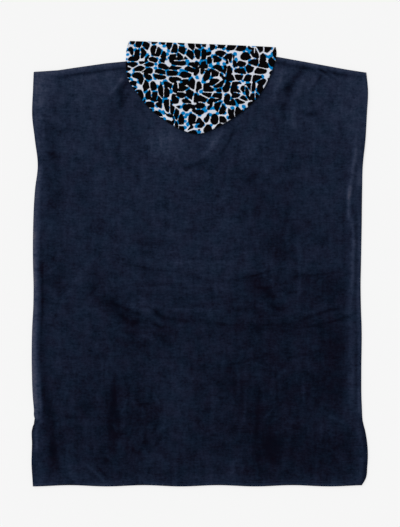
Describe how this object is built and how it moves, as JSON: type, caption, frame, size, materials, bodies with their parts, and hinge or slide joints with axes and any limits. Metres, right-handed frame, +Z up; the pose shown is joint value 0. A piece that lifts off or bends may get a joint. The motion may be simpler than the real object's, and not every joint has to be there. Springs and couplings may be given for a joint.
{
  "type": "hooded bath poncho",
  "caption": "Hooded towelling poncho laid flat on its front: a wide straight body with open armholes and side slits, and a printed hood turned down over the back.",
  "frame": {"origin": "on the surface that the garment lies on, under the middle of its bounding box", "axes": "+X across the garment, to the right seen from above with the hood at the top; +Y from hem to hood; +Z up from the surface, out of the back panel"},
  "size_m": [0.8606, 1.1399, 0.0134],
  "materials": {
    "navy_velour": "dark navy cotton velour towelling with a soft, brushed nap",
    "printed_velour": "cotton velour towelling printed in black, pale lilac-white and blue"
  },
  "bodies": {
    "root": {"front_panel": "navy_velour", "back_panel": "navy_velour", "hood_left": "printed_velour", "hood_right": "printed_velour"}
  },
  "joints": []
}
